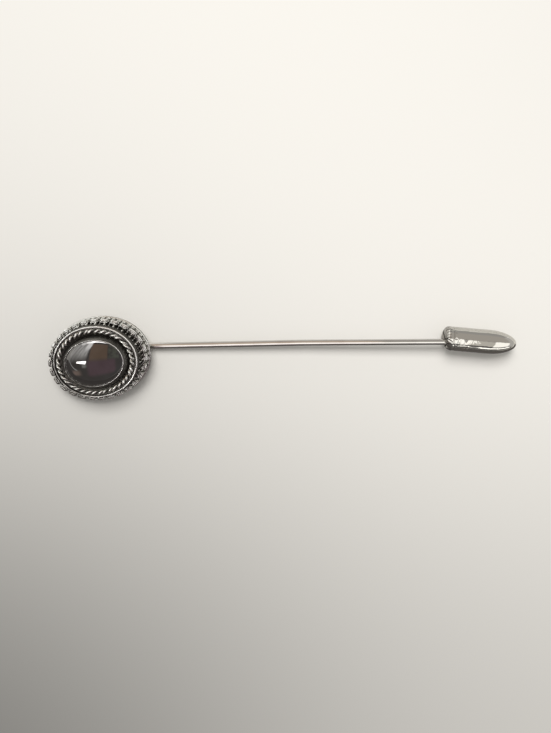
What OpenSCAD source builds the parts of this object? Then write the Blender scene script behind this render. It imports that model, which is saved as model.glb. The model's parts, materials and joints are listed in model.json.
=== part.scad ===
// Stick pin: an oval cabochon in a bordered setting, on a straight wire with a bullet clutch.
// The pin lies on a table, on the rim of its setting, the end of its wire and its clutch.
// Millimetres. +Z is up, +X runs along the pin towards the clutch.

/* [Border] */
// Long axis of the border at its base edge
border_long = 16.7; // [16:0.1:18]
// Short axis of the border at its base edge
border_short = 13.6; // [13.2:0.1:15]
// Turn of the border on the back plate, against the wire
border_turn = 15; // [0:1:20]
// Teeth round the border, each with one scroll under it and one cell behind it
tooth_count = 28; // [24:1:30]
// Place of the first notch round the border, in eighths of a tooth from its long axis
notch_start = 3; // [0:1:7]
// Depth of the notch between two teeth
notch_depth = 0.38; // [0.1:0.02:0.45]
// How far a scroll stands out of the side wall
scroll_depth = 0.07; // [0:0.01:0.12]
// Height of the ribs between the cells
rib_height = 0.24; // [0:0.02:0.4]

/* [Rings] */
// Turn of the plain ring, the rope and the stone on the back plate, against the wire
inner_turn = 11.5; // [0:0.5:20]
// Long axis of the plain ring wire, along its crown
ring_long = 13.4; // [13:0.1:13.8]
// Short axis of the plain ring wire, along its crown
ring_short = 11.38; // [11:0.02:11.6]
// Long axis of the rope wire, along its crown
rope_long = 11.9; // [11.6:0.1:12]
// Short axis of the rope wire, along its crown
rope_short = 10.04; // [9.8:0.02:10.1]
// Strands that show round the rope wire
rope_strands = 38; // [30:1:40]
// Depth of the grooves between two strands
strand_depth = 0.16; // [0:0.02:0.2]

/* [Stone] */
// Long axis of the stone, hidden edge included
stone_long = 10; // [9.6:0.1:10.2]
// Short axis of the stone, hidden edge included
stone_short = 8; // [7.6:0.1:8.2]
// Height of the stone's crown above its straight edge
dome_height = 2.55; // [1.5:0.05:3.5]
// Roundness of the dome: a lower value gives steeper sides and a flatter crown
dome_power = 0.62; // [0.5:0.02:1]
// Gap between the stone and its seat
stone_gap = 0.03; // [0.02:0.01:0.05]

/* [Wire and pad] */
// Diameter of the wire
wire_d = 1; // [0.8:0.05:1.2]
// Length of wire left of the setting's centre
wire_tail = 3.3; // [2:0.1:4]
// Distance from the setting's centre to the slight bend
bend_at = 33.4; // [25:0.1:40]
// Angle of the slight bend
bend_angle = 0.85; // [0:0.05:2]
// Distance from the bend to the clutch's mouth, which is straight wire
straight_length = 22.6; // [15:0.1:30]
// Length of the fine taper inside the clutch
taper_length = 4.5; // [3:0.5:5]
// Length of the sharp point
point_length = 4; // [2:0.5:4.5]
// Diameter of the pad that the wire is soldered to
pad_d = 7.5; // [6:0.5:8]
// Thickness of the pad
pad_thickness = 0.65; // [0.4:0.05:0.8]
// How far the wire and its pad lie off the middle of the back plate, towards its raised side
wire_offset = 1.5; // [0:0.05:2]

/* [Clutch] */
// Outer diameter of the clutch
clutch_d = 3.9; // [3.8:0.1:5]
// Length of the clutch, nose included
clutch_length = 11.75; // [11:0.05:14]
// Length of the round nose
nose_length = 4.6; // [3:0.1:5]
// Thickness of the clutch's wall
clutch_wall = 0.35; // [0.3:0.05:0.5]
// Angle at which the clutch sits askew on the wire, seen from above
clutch_askew = 5.4; // [3:0.1:6]
// Sideways place of the wire's hole in the mouth, off the middle
hole_offset = 0.65; // [0.4:0.05:0.95]
// Slits in the mouth, from the hole to the rim
slit_count = 6; // [4:1:8]

/* [Hidden] */

// Colours
antique_silver = [0.62, 0.61, 0.58];
hematite = [0.16, 0.15, 0.16];
nickel = [0.8, 0.79, 0.76];

// Heights of the setting over the back of its plate
edge_height = 0.38;
scroll_height = 0.95;
tooth_foot = 1.45;
tooth_crown = 2.1;
cell_floor = 1.35;
ring_crown = 3.26;
groove_floor = 2.92;
rope_crown = 3.42;
seat_floor = 2.35;
lip_crown = 3.95;

// Setting: the ovals that its rows follow, as half long axis, half short axis and turn
BORDER = 0;
RING = 1;
ROPE = 2;
STONE = 3;
ovals = [
    [border_long / 2, border_short / 2, border_turn],
    [ring_long / 2, ring_short / 2, inner_turn],
    [rope_long / 2, rope_short / 2, inner_turn],
    [stone_long / 2, stone_short / 2, inner_turn]
];

// Kinds of relief that a row carries round the oval
PLAIN = 0;
SCROLL = 1;
TOOTH = 2;
RIB = 3;
STRAND = 4;

// Rows of the setting from the base edge, up and over, to the floor of the stone's seat.
// Columns: the oval it follows, the offset outwards from it, the height, the relief,
// and the strand's lean at that row in degrees of one strand
profile = [
    [BORDER, 0, 0, PLAIN, 0],
    [BORDER, 0, edge_height, PLAIN, 0],
    [BORDER, -0.16, edge_height + 0.08, SCROLL, 180],
    [BORDER, -0.16, scroll_height, SCROLL, 0],
    [BORDER, -0.2, tooth_foot, TOOTH, 0],
    [BORDER, -0.09, tooth_foot + 0.35, TOOTH, 0],
    [BORDER, -0.31, tooth_crown, TOOTH, 0],
    [BORDER, -0.59, tooth_crown - 0.12, TOOTH, 0],
    [BORDER, -0.7, cell_floor, RIB, 0],
    [RING, 0.36, cell_floor, RIB, 0],
    [RING, 0.24, groove_floor, PLAIN, 0],
    [RING, 0.15, ring_crown - 0.07, PLAIN, 0],
    [RING, 0, ring_crown, PLAIN, 0],
    [RING, -0.17, ring_crown - 0.12, PLAIN, 0],
    [RING, -0.25, groove_floor, PLAIN, 0],
    [ROPE, 0.4, groove_floor + 0.22, STRAND, -90],
    [ROPE, 0.2, rope_crown - 0.06, STRAND, -30],
    [ROPE, -0.2, rope_crown - 0.04, STRAND, 30],
    [ROPE, -0.4, groove_floor + 0.24, STRAND, 90],
    [ROPE, -0.48, groove_floor, PLAIN, 0],
    [STONE, 0.3, groove_floor + 0.03, PLAIN, 0],
    [STONE, 0.06, lip_crown - 0.34, PLAIN, 0],
    [STONE, -0.2, lip_crown, PLAIN, 0],
    [STONE, -0.31, lip_crown - 0.03, PLAIN, 0],
    [STONE, stone_gap, lip_crown - 0.68, PLAIN, 0],
    [STONE, stone_gap, seat_floor, PLAIN, 0]
];
around = 8 * tooth_count;

// Turns an even step round into the angle on an oval, so that teeth and strands have one size
even_spread = 90 / PI * (border_long - border_short) / (border_long + border_short);
function even(step) = step + even_spread * sin(2 * step);

// Wire: its centre line lies under the plate, sunk a little into the pad
wire_r = wire_d / 2;
wire_sink = 0.05;
plate_gap = 0.02;
plate_from_wire = [0, -wire_offset, pad_thickness + wire_r - wire_sink + plate_gap];
solder_width = 0.8;
solder_length = 5;
taper_d = 0.82;
point_d = 0.1;

// Clutch
clutch_r = clutch_d / 2;
hole_r = wire_r + 0.05;
mouth_depth = 0.7;
groove_start = 1;
groove_depth = 0.1;
slit_width = 0.14;
slit_turn = 30;
nose_steps = 14;
cavity_steps = 10;
cavity_r = clutch_r - clutch_wall;
cavity_nose = nose_length - clutch_wall - 0.1;
barrel_length = clutch_length - nose_length;

// Rest: the wire rises from its end, on the table, to its hole in the clutch, which lies flat
wire_to_mouth = wire_tail + bend_at + straight_length;
wire_rise = asin((clutch_r - wire_r) / wire_to_mouth);
end_z = wire_r * cos(wire_rise);
head_z = end_z + wire_tail * sin(wire_rise);
bend_z = head_z + bend_at * sin(wire_rise);

function rot_x(a) = [[1, 0, 0], [0, cos(a), -sin(a)], [0, sin(a), cos(a)]];
function rot_y(a) = [[cos(a), 0, sin(a)], [0, 1, 0], [-sin(a), 0, cos(a)]];
function rot_z(a) = [[cos(a), -sin(a), 0], [sin(a), cos(a), 0], [0, 0, 1]];

// Axes of the setting in the part's frame when it leans over by a roll about the wire
function head_axes(roll) = rot_z(bend_angle) * rot_y(-wire_rise) * rot_x(roll);

// Height of the lowest point of the base edge at a roll
function rim_height(roll) =
    let (
        axes = head_axes(roll),
        turned = (axes * rot_z(border_turn))[2]
    )
    head_z + axes[2] * plate_from_wire
        - norm([turned[0] * border_long / 2, turned[1] * border_short / 2]);

// Roll that brings the base edge onto the table, found by halving
function find_roll(low, high, left = 24) =
    let (mid = (low + high) / 2)
    left == 0 ? mid
        : rim_height(mid) > 0 ? find_roll(mid, high, left - 1)
        : find_roll(low, mid, left - 1);
head_roll = find_roll(2, 40);
head_frame = head_axes(head_roll);

// Relief: phase in degrees of one tooth, 0 at the middle of a notch
function tooth_phase(step) = tooth_count * step - 45 * notch_start;

// 1 at the middle of each notch between two teeth, 0 over the tooth
function notch(step) = pow(max(0, cos(tooth_phase(step))), 3);

// Offset and height that a row's relief adds at a step round the oval
function relief(row, step) =
    row[3] == SCROLL ? [scroll_depth * cos(tooth_phase(step) + row[4]), 0]
    : row[3] == TOOTH ? [-notch_depth * notch(step) / 3, -notch_depth * notch(step)]
    : row[3] == RIB ? [0, rib_height * notch(step)]
    : row[3] == STRAND ? [0, strand_depth / 2 * cos(rope_strands * step + row[4])]
    : [0, 0];

function oval_point(oval, offset, t, z) =
    rot_z(oval[2]) * [(oval[0] + offset) * cos(t), (oval[1] + offset) * sin(t), z];

function setting_point(row, step) =
    let (add = relief(row, step))
    oval_point(ovals[row[0]], row[1] + add[0], even(step), row[2] + add[1]);

setting_points = [
    for (row = profile)
    for (k = [0 : around - 1])
    setting_point(row, k * 360 / around)
];

// Two triangles for each step round and each row, and a flat face at either end
function skin_faces(rows, count) = [
    for (i = [0 : rows - 2])
    for (k = [0 : count - 1])
    let (
        a = i * count + k,
        b = i * count + (k + 1) % count
    )
    each [[a, a + count, b + count], [a, b + count, b]]
];
function end_faces(rows, count) = [
    [for (k = [0 : count - 1]) k],
    [for (k = [count - 1 : -1 : 0]) (rows - 1) * count + k]
];

// Stone: rings from its flat back to its crown
stone_back = seat_floor + stone_gap;
stone_edge = lip_crown - 0.88;
stone_rings = 13;
stone_around = 60;
function dome(share) = stone_edge + dome_height * pow(1 - share * share, dome_power);
stone_points = [
    for (k = [0 : stone_around - 1])
    oval_point(ovals[STONE], 0, k * 360 / stone_around, stone_back),
    for (i = [0 : stone_rings - 1])
    for (k = [0 : stone_around - 1])
    let (share = cos(88.5 * i / (stone_rings - 1)))
    rot_z(inner_turn) * [
        stone_long / 2 * share * cos(k * 360 / stone_around),
        stone_short / 2 * share * sin(k * 360 / stone_around),
        dome(share)
    ]
];

// Place of the whole pin: the middle of its outline over the origin
bend_foot = [0, 0, bend_z];
head_place = bend_foot - rot_z(bend_angle) * rot_y(-wire_rise) * [bend_at, 0, 0];
plate_place = head_place + head_frame * plate_from_wire;
border_points = [for (i = [0 : around * 8 - 1]) plate_place + head_frame * setting_points[i]];
mouth_x = straight_length * cos(wire_rise);
mouth_place = [mouth_x, hole_offset, clutch_r];
nose_x = mouth_x + clutch_length * cos(clutch_askew);
low_x = min([for (p = border_points) p[0]]);
low_y = min([for (p = border_points) p[1]]);
high_y = max([for (p = border_points) p[1]]);
centre = [-(low_x + nose_x) / 2, -(low_y + high_y) / 2, 0];

// Stands its children on the back plate of the setting, as the pin lies
module on_plate() {
    translate(centre + plate_place)
        multmatrix([for (row = head_frame) concat(row, 0)])
            children();
}

// Runs its children's +Z along the wire from the bend: side 1 is the clutch's, side -1 the setting's
module along_wire(side) {
    translate(centre + bend_foot)
        rotate([0, 0, side > 0 ? 0 : bend_angle])
            rotate([0, 90 - wire_rise, 0])
                children();
}

module setting() {
    color(antique_silver)
        on_plate()
            polyhedron(
                points = setting_points,
                faces = concat(skin_faces(len(profile), around), end_faces(len(profile), around))
            );
}

module stone() {
    color(hematite)
        on_plate()
            polyhedron(
                points = stone_points,
                faces = concat(
                    skin_faces(stone_rings + 1, stone_around),
                    end_faces(stone_rings + 1, stone_around)
                )
            );
}

// Half space that ends a wire at the bend, so that both halves share one mitre face
module mitre(side) {
    size = 2 * (bend_at + wire_tail + straight_length);
    translate(centre + bend_foot)
        rotate([0, 0, bend_angle / 2])
            rotate([0, -wire_rise, 0])
                translate([side * size / 2, 0, 0])
                    cube(size, center = true);
}

module wire_left() {
    intersection() {
        along_wire(-1)
            translate([0, 0, -bend_at - wire_tail])
                cylinder(h = bend_at + wire_tail + wire_d, r = wire_r, $fn = 64);
        mitre(-1);
    }
}

module wire_right() {
    intersection() {
        along_wire(1)
            translate([0, 0, -wire_d])
                cylinder(h = straight_length + wire_d, r = wire_r, $fn = 64);
        mitre(1);
    }
}

module wire_point() {
    along_wire(1)
        translate([0, 0, straight_length]) {
            cylinder(h = taper_length, r1 = wire_r, r2 = taper_d / 2, $fn = 64);
            translate([0, 0, taper_length])
                cylinder(h = point_length, r1 = taper_d / 2, r2 = point_d / 2, $fn = 64);
        }
}

module pad() {
    on_plate()
        translate([0, wire_offset, -plate_gap - pad_thickness]) {
            cylinder(h = pad_thickness, d = pad_d, $fn = 96);
            translate([-solder_length / 2, -solder_width / 2, -wire_r * 0.7])
                cube([solder_length, solder_width, wire_r]);
        }
}

module pin_stem() {
    color(nickel) {
        wire_left();
        wire_right();
        wire_point();
        pad();
    }
}

// Rolled lip of the mouth, which dips towards the hole: radius, then height
mouth_outline = [
    [0, 0.25],
    [clutch_r * 0.28, 0.22],
    [clutch_r * 0.48, 0.05],
    [clutch_r * 0.64, 0],
    [clutch_r * 0.82, 0.09],
    [clutch_r * 0.94, 0.3],
    [clutch_r, 0.62]
];

// Quarter of an oval from a barrel's wall to the tip of its nose: radius, then height
function nose_outline(r, start, nose, steps) = [
    for (i = [0 : steps]) [r * cos(90 * i / steps), start + nose * sin(90 * i / steps)]
];

module clutch_shell() {
    difference() {
        rotate_extrude($fn = 96)
            polygon([
                each mouth_outline,
                [clutch_r, groove_start],
                [clutch_r - groove_depth, groove_start + 0.08],
                [clutch_r - groove_depth, groove_start + 0.18],
                [clutch_r, groove_start + 0.26],
                each nose_outline(clutch_r, barrel_length, nose_length, nose_steps)
            ]);
        rotate_extrude($fn = 96)
            polygon([
                [0, mouth_depth],
                [cavity_r, mouth_depth],
                each nose_outline(cavity_r, barrel_length, cavity_nose, cavity_steps)
            ]);
    }
}

// Slits run from the hole to the rim, and stop short of the rolled edge
module mouth_slits() {
    intersection() {
        translate([0, 0, -1])
            cylinder(h = 1 + mouth_depth + 0.2, r = cavity_r - 0.05, $fn = 96);
        translate([0, -hole_offset, -0.5])
            for (k = [0 : slit_count - 1])
                rotate([0, 0, slit_turn + k * 360 / slit_count])
                    translate([0, -slit_width / 2, 0])
                        cube([clutch_d, slit_width, 0.5 + mouth_depth + 0.1]);
    }
}

module clutch() {
    color(nickel)
        difference() {
            translate(centre + mouth_place)
                rotate([0, 0, -clutch_askew])
                    rotate([0, 90, 0])
                        difference() {
                            clutch_shell();
                            mouth_slits();
                        }
            along_wire(1)
                translate([0, 0, straight_length - 0.5])
                    cylinder(h = mouth_depth + 1, r = hole_r, $fn = 64);
        }
}

setting();
stone();
pin_stem();
clutch();
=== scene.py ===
"""A stick pin with an oval cabochon, lying on a pale table: the looks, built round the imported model."""
import json
import math

import bpy
import numpy as np
from mathutils import Matrix, Vector


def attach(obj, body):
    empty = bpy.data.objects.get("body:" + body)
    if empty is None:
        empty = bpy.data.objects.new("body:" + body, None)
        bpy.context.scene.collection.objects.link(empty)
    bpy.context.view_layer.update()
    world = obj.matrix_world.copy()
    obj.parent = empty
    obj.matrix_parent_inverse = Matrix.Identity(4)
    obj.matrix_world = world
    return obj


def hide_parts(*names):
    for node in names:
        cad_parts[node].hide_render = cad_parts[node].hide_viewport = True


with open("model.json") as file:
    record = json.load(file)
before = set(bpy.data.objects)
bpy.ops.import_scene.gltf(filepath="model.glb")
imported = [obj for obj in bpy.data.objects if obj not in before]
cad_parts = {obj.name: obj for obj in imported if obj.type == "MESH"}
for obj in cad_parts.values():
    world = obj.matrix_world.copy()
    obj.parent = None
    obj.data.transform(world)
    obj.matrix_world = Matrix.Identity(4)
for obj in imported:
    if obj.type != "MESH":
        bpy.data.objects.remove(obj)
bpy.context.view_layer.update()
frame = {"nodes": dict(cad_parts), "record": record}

# Camera: a hand-held view from almost straight above, a little to the right of the head.
# Its place, turn and lens put every part of the pin where the photograph has it.
MM = 0.001
PICTURE = (551, 733)
FOCAL_PIXELS = 551
look_at = np.array([-1.139, -1.6915, 0.0])
camera_away = 91.994
camera_tilt, camera_pan, camera_roll = np.radians([4.677, 0.32, -0.416])
back = np.array([
    math.sin(camera_pan) * math.cos(camera_tilt),
    math.sin(camera_tilt),
    math.cos(camera_pan) * math.cos(camera_tilt),
])
right = np.cross(-back, (0, 1, 0))
right /= np.linalg.norm(right)
up = np.cross(back, right)
rolled_right = math.cos(camera_roll) * right + math.sin(camera_roll) * up
rolled_up = math.cos(camera_roll) * up - math.sin(camera_roll) * right
camera_data = bpy.data.cameras.new("camera")
camera_data.lens = camera_data.sensor_width * FOCAL_PIXELS / max(PICTURE)
camera_data.clip_start = 0.002
camera = bpy.data.objects.new("camera", camera_data)
camera_place = (look_at + camera_away * back) * MM
camera_axes = np.array([rolled_right, rolled_up, back]).T
camera.matrix_world = Matrix.Translation(camera_place) @ Matrix(camera_axes.tolist()).to_4x4()
bpy.context.scene.collection.objects.link(camera)
bpy.context.scene.camera = camera
bpy.context.scene.view_settings.view_transform = "Standard"


# Table: a plain pale sheet with a painted fall of light in its colour: brightest behind the pin and duller
# towards the near left corner.
# It is matt, so that only its shade and the pin's soft shadows show on it.
class Field:
    """A number or a colour that varies over a surface. Arithmetic on numbers adds the Math nodes for it."""

    def __init__(self, tree, socket):
        self.tree = tree
        self.socket = socket

    def math(self, operation, *values):
        node = self.tree.nodes.new("ShaderNodeMath")
        node.operation = operation
        for slot, value in zip(node.inputs, values):
            if isinstance(value, Field):
                self.tree.links.new(value.socket, slot)
            else:
                slot.default_value = value
        return Field(self.tree, node.outputs[0])

    def __add__(self, other):
        return self.math("ADD", self, other)

    def __radd__(self, other):
        return self.math("ADD", other, self)

    def __sub__(self, other):
        return self.math("SUBTRACT", self, other)

    def __rsub__(self, other):
        return self.math("SUBTRACT", other, self)

    def __mul__(self, other):
        return self.math("MULTIPLY", self, other)

    def __rmul__(self, other):
        return self.math("MULTIPLY", other, self)

    def __truediv__(self, other):
        return self.math("DIVIDE", self, other)

    def __pow__(self, other):
        return self.math("POWER", self, other)

    def clamp(self):
        return self.math("MINIMUM", self.math("MAXIMUM", self, 0), 1)

    def rise(self, low, high):
        """Goes smoothly from 0 at low to 1 at high: with s the clamped share of the way, 3 s^2 - 2 s^3."""
        share = ((self - low) * (1 / (high - low))).clamp()
        return share * share * (3 - 2 * share)

    def band(self, low, high, soft):
        """Is 1 between low and high and falls smoothly to 0 over the width soft on either side."""
        return self.rise(low - soft, low + soft) * (1 - self.rise(high - soft, high + soft))


class Nodes:
    """The node tree of a material or of the world's light."""

    def __init__(self, owner):
        owner.use_nodes = True
        self.tree = owner.node_tree

    def add(self, kind, settings, sockets, output=0):
        """Adds a node: its settings first, then a value or a link for each socket. Gives one output back."""
        node = self.tree.nodes.new("ShaderNode" + kind)
        for name, value in settings.items():
            setattr(node, name, value)
        self.feed(node, sockets)
        return Field(self.tree, node.outputs[output])

    def feed(self, node, sockets):
        for key, value in sockets.items():
            if isinstance(value, Field):
                self.tree.links.new(value.socket, node.inputs[key])
            else:
                node.inputs[key].default_value = value

    def blend(self, share, first, second):
        """Mixes two colours: the first where share is 0, the second where it is 1."""
        ends = {0: share, 6: first, 7: second}
        return self.add("Mix", {"data_type": "RGBA"}, ends, output=2)

    def noise(self, place, scale, detail=3, roughness=0.5):
        sockets = {"Vector": place, "Scale": scale, "Detail": detail, "Roughness": roughness}
        return self.add("TexNoise", {}, sockets)

    def place(self):
        """The point on the piece, in metres, as the piece lies at rest."""
        return self.add("TexCoord", {}, {}, output="Object")

    def parts(self, vector):
        """The three numbers of a vector."""
        node = self.tree.nodes.new("ShaderNodeSeparateXYZ")
        self.tree.links.new(vector.socket, node.inputs[0])
        return [Field(self.tree, output) for output in node.outputs]

    def attribute(self, name, output="Fac"):
        return self.add("Attribute", {"attribute_name": name}, {}, output)

    def bump(self, height, strength, distance):
        sockets = {"Height": height, "Strength": strength, "Distance": distance}
        return self.add("Bump", {}, sockets)


def finish(name, sockets):
    """Makes a material. sockets is a function of its nodes that works out its shader's values."""
    material = bpy.data.materials.new(name)
    nodes = Nodes(material)
    shader = nodes.tree.nodes["Principled BSDF"]
    nodes.feed(shader, sockets(nodes))
    return material


TABLE_SPAN = (0.045, 0.036)
TABLE_EASE = 1.3


def paper_sockets(nodes):
    """The table's painted fall of light: a quadratic of the place, across and away, each eased to a limit by
    a tanh.
    """
    x, y, _ = nodes.parts(nodes.place())
    u = TABLE_EASE * x.math("TANH", x * (1 / TABLE_SPAN[0] / TABLE_EASE))
    v = TABLE_EASE * y.math("TANH", y * (1 / TABLE_SPAN[1] / TABLE_EASE))
    painted_falloff = 0.755 + 0.109 * u + 0.143 * v - 0.0235 * u * u - 0.086 * v * v - 0.083 * u * v
    colour = nodes.blend(painted_falloff, (0, 0, 0, 1), (1.02, 0.997, 0.955, 1))
    return {"Base Color": colour, "Roughness": 1, "Specular IOR Level": 0}


table_half = 1.2
table_mesh = bpy.data.meshes.new("table")
table_corners = [(-table_half, -table_half, 0), (table_half, -table_half, 0)]
table_corners += [(table_half, table_half, 0), (-table_half, table_half, 0)]
table_mesh.from_pydata(table_corners, [], [(0, 1, 2, 3)])
table = bpy.data.objects.new("table", table_mesh)
bpy.context.scene.collection.objects.link(table)
table_mesh.materials.append(finish("paper", paper_sockets))

# Light: one large soft lamp behind the pin throws the shadows, and a pale room fills them.
# The polished metal and the stone mirror softboxes, a window, a side lamp and a dim, uneven room.
KEY_AWAY = 0.45
KEY_SIZE = 0.25
KEY_WATTS = 1.6
key_height = math.radians(57)
key_side = math.radians(-8)


def lamp(name, place, size, glow, colour, towards, receivers=None):
    """Hangs a panel of light at a place, facing a way. Its power is pi x area x glow. It lights only the
    receivers, if a collection is given."""
    data = bpy.data.lights.new(name, "AREA")
    data.shape = "RECTANGLE"
    data.size, data.size_y = size
    data.energy = math.pi * size[0] * size[1] * glow
    data.color = colour
    light = bpy.data.objects.new(name, data)
    light.location = place
    light.rotation_euler = (-Vector(towards)).to_track_quat("Z", "Y").to_euler()
    light.visible_camera = False
    if receivers:
        light.light_linking.receiver_collection = receivers
    bpy.context.scene.collection.objects.link(light)
    return light


def softbox(name, low, high, glow, receivers, colour=(1, 1, 1)):
    """A level softbox over the pin between two corners, in millimetres."""
    low, high = np.array(low), np.array(high)
    return lamp(name, (low + high) / 2 * MM, (high - low)[:2] * MM, glow, colour, (0, 0, -1), receivers)


key_way = Vector((
    math.sin(key_side) * math.cos(key_height),
    math.cos(key_side) * math.cos(key_height),
    math.sin(key_height),
))
key_glow = KEY_WATTS / math.pi / KEY_SIZE ** 2
key = lamp("key", key_way * KEY_AWAY, (KEY_SIZE, KEY_SIZE), key_glow, (1, 0.99, 0.965), -key_way)
key.visible_glossy = False

silver_pieces = bpy.data.collections.new("silver_pieces")
stone_pieces = bpy.data.collections.new("stone_pieces")
bright_pieces = bpy.data.collections.new("bright_pieces")

# The row of softboxes whose edges end the white patches on the clutch
# Columns: name, near left corner and far right corner in millimetres, glow, colour
BOX_HEIGHT = 24
for box_name, box_near, box_far, box_glow, box_colour in (
    ("left_box", (-27, -22), (35.3, 1.7), 1.5, (1, 0.985, 0.96)),
    ("top_box", (35.9, -23), (37.8, 1.2), 1.5, (1, 0.985, 0.95)),
    ("gap_box", (37.8, -22), (45, 1.2), 0.52, (1, 0.955, 0.87)),
    ("nose_box", (45, -26), (78, 1.2), 1.4, (1, 0.985, 0.95)),
    ("far_box", (-40, 1.7), (78, 37), 0.35, (1, 0.93, 0.84)),
):
    softbox(box_name, (*box_near, BOX_HEIGHT), (*box_far, BOX_HEIGHT), box_glow, bright_pieces, box_colour)

# The strip on the near side that gives the clutch its bright line, dim in its middle stretch
# Columns: left end and right end in millimetres, glow
STRIP_PLACE = (-29, 14.8)
STRIP_WIDTH = 6
for strip_from, strip_to, strip_glow in ((35.7, 37.6, 2), (37.6, 40.1, 0.4), (40.1, 83, 2)):
    strip_size = ((strip_to - strip_from) * MM, STRIP_WIDTH * MM)
    strip_middle = np.array([(strip_from + strip_to) / 2, *STRIP_PLACE]) * MM
    lamp("near_strip", strip_middle, strip_size, strip_glow, (1, 0.985, 0.95), (0, 0.92, -0.4), bright_pieces)
pale_colour = (1, 0.98, 0.95)
lamp("far_panel", (0.02, 0.037, 0.012), (0.12, 0.024), 0.28, pale_colour, (0, -1, 0), bright_pieces)
lamp("end_panel", (0.078, 0.007, 0.012), (0.06, 0.024), 0.45, pale_colour, (-1, 0, 0), bright_pieces)
softbox("silver_box", (-112, -80, 150), (60, 60, 150), 1.15, silver_pieces)
lamp("right_panel", (0.25, -0.02, 0.06), (0.26, 0.10), 3.8, (1, 1, 1), (-1, 0, 0), silver_pieces)

# The window behind the pin, dimmer where the stone mirrors its left side
# Columns: place across, width, glow, the pieces that it lights
for window_x, window_wide, window_glow, receivers in (
    (-0.015, 0.24, 5, stone_pieces),
    (-0.165, 0.06, 2.2, stone_pieces),
    (-0.235, 0.08, 0.9, stone_pieces),
    (-0.015, 0.24, 1.2, silver_pieces),
):
    window_size = (window_wide, 0.08)
    lamp("window", (window_x, 0.25, 0.05), window_size, window_glow, (1, 0.995, 0.98), (0, -1, 0), receivers)

world = bpy.data.worlds.new("room")
bpy.context.scene.world = world
world.cycles.sampling_method = "NONE"
room = Nodes(world)
way = room.add("TexCoord", {}, {}, output="Generated")
way_x, way_y, way_z = room.parts(way)
# The room as a flat map round the point overhead: degrees off the top, to the right and away
off_top = way_z.math("ARCCOSINE", way_z) * (180 / math.pi)
level = (way_x * way_x + way_y * way_y + 1e-8) ** 0.5
map_x = off_top * way_x / level
map_y = off_top * way_y / level
cloud = room.noise(way, 5, 4, 0.6)
fan = room.add("CombineXYZ", {}, {"X": map_x * 0.16 - map_y * 0.05, "Y": map_y * 0.018})
streak = room.noise(fan, 1, 4, 0.65)
purple = map_x.band(-28, 46, 7) * map_y.band(-62, -4, 10)
brown = map_x.band(-24, 21, 2.5) * map_y.rise(-14, 6) * (1 - map_y.rise(56, 66))
green = map_x.rise(20, 25) * map_y.rise(-8, 4) * cloud.rise(0.35, 0.6)
ruddy = map_x.band(-74, -50, 8) * map_y.band(-56, -38, 6)
edge = map_x - 0.12 * map_y + (streak - 0.5) * 14
haze = edge.band(-44, -31, 3) * map_y.rise(22, 48)
pale = (1 - edge.rise(-35, -29)) * map_y.rise(-14, 30) * (2.3 * streak - 0.42)
arc = map_y + 38 - 0.03 * (map_x + 50) * (map_x + 50)
fleck = map_x.band(-88, -58, 4) * arc.band(-1.5, 1.5, 1.5)
# The side lamp: a bar with a ragged edge and a faint tail
ragged = (cloud - 0.5) * 9
bar_low = map_y + 16 + 0.17 * (map_x + 32) + ragged
bar_high = map_y + 6.5 + ragged * 0.6
bar = (map_x + ragged).band(-57, -33, 1.5) * bar_low.rise(-1, 1.5) * (1 - bar_high.rise(-1, 1))
tail = (map_x + ragged).band(-42, -31, 3) * (map_y + ragged).band(-28, -15, 4)
mirrored = (0.155, 0.146, 0.138, 1)
for share, glow in (
    (purple, (0.245, 0.175, 0.195, 1)),
    (brown, (0.338, 0.245, 0.181, 1)),
    (green, (0.23, 0.245, 0.20, 1)),
    (ruddy * 0.8, (0.55, 0.42, 0.36, 1)),
    (fleck, (1.1, 1.1, 1.08, 1)),
    (pale, (1.2, 1.2, 1.16, 1)),
    (haze, (1.9, 1.9, 1.85, 1)),
    (tail, (0.5, 0.5, 0.47, 1)),
    (bar, (9, 9, 8.9, 1)),
):
    mirrored = room.blend(share, mirrored, glow)
glossy = room.add("LightPath", {}, {}, output="Is Glossy Ray")
AMBIENT = 0.45
ambient_colour = (AMBIENT, 0.985 * AMBIENT, 0.955 * AMBIENT, 1)
room_colour = room.blend(glossy, ambient_colour, mirrored)
room.feed(room.tree.nodes["Background"], {"Color": room_colour, "Strength": 1})


def glowing(colour):
    """A plain even glow that nothing else lights."""
    black = {"Base Color": (0, 0, 0, 1), "Specular IOR Level": 0}
    return {**black, "Emission Color": colour, "Emission Strength": 1}


# Sheets that only mirrors show: the dim near table, the table behind the clutch, and a dim ceiling
# Columns: name, near left corner and far right corner in millimetres, height, glow
for sheet_name, sheet_near, sheet_far, sheet_height, sheet_glow in (
    ("near_sheet", (-260, -300), (60, 1.2), 0.3, (0.13, 0.12, 0.113, 1)),
    ("far_sheet", (24, 5), (300, 300), 0.3, (0.47, 0.45, 0.42, 1)),
    ("ceiling", (20, -300), (300, 300), 28, (0.15, 0.145, 0.14, 1)),
):
    (left_x, near_y), (right_x, far_y) = sheet_near, sheet_far
    sheet_corners = np.array([(left_x, near_y), (right_x, near_y), (right_x, far_y), (left_x, far_y)])
    sheet_corners = np.insert(sheet_corners, 2, sheet_height, axis=1) * MM
    sheet_mesh = bpy.data.meshes.new(sheet_name)
    sheet_mesh.from_pydata(sheet_corners.tolist(), [], [(0, 1, 2, 3)])
    sheet_mesh.materials.append(finish(sheet_name, lambda nodes: glowing(sheet_glow)))
    sheet = bpy.data.objects.new(sheet_name, sheet_mesh)
    bpy.context.scene.collection.objects.link(sheet)
    sheet.visible_camera = False
    sheet.visible_diffuse = False
    sheet.visible_shadow = False

# Border: the back plate and its cast border, one casting in silver-tone metal, blackened and then rubbed.
# A thin base edge, a wall, teeth with notches between them, and a row of dark cells behind the teeth.
ovals_turn = math.radians(-3.5)


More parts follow.
